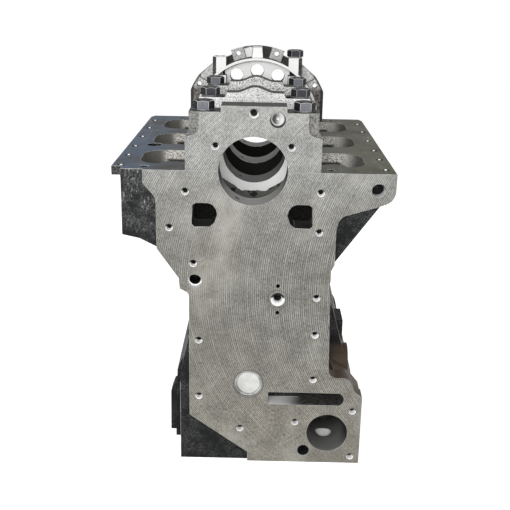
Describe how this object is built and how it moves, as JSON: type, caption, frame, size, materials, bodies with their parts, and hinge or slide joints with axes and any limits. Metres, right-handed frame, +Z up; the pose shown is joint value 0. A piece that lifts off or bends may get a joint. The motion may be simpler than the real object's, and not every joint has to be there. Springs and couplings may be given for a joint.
{
  "type": "engine block",
  "caption": "Bare three-cylinder diesel engine block standing on its head deck, with four main bearing caps, their bolts, dry liners and core plugs.",
  "frame": {"origin": "centre of the crankshaft bore in the machined front face, on the joint between the block and its caps", "axes": "+X to the right of someone facing the front face, +Y along the crankshaft axis to the rear, +Z up, at the sump side"},
  "size_m": [0.307, 0.368, 0.454],
  "materials": {
    "block": "milled bright on the front face, dark raw casting on the sides",
    "front_cap": "milled bright on the front",
    "cast_cap": "speckled raw casting",
    "rear_cap": "pale, machined",
    "black_bolt": "black oxide",
    "dowel": "bright, turned",
    "liner": "honed",
    "core_plug": "bright pressed steel",
    "gallery_plug": "dark, threaded"
  },
  "bodies": {
    "root": {"engine_block": "block", "front_main_cap": "front_cap", "second_main_cap": "cast_cap", "third_main_cap": "cast_cap", "rear_main_cap": "rear_cap", "front_cap_bolt_left": "black_bolt", "front_cap_bolt_right": "black_bolt", "second_cap_bolt_left": "black_bolt", "second_cap_bolt_right": "black_bolt", "third_cap_bolt_left": "black_bolt", "third_cap_bolt_right": "black_bolt", "rear_cap_bolt_right": "black_bolt", "main_cap_ring_dowels": "dowel", "front_cylinder_liner": "liner", "middle_cylinder_liner": "liner", "rear_cylinder_liner": "liner", "front_core_plug": "core_plug", "rear_core_plug": "core_plug", "left_core_plug_middle": "core_plug", "left_core_plug_rear": "core_plug", "right_core_plug_front": "core_plug", "right_core_plug_middle": "core_plug", "oil_gallery_plug": "gallery_plug"}
  },
  "joints": []
}
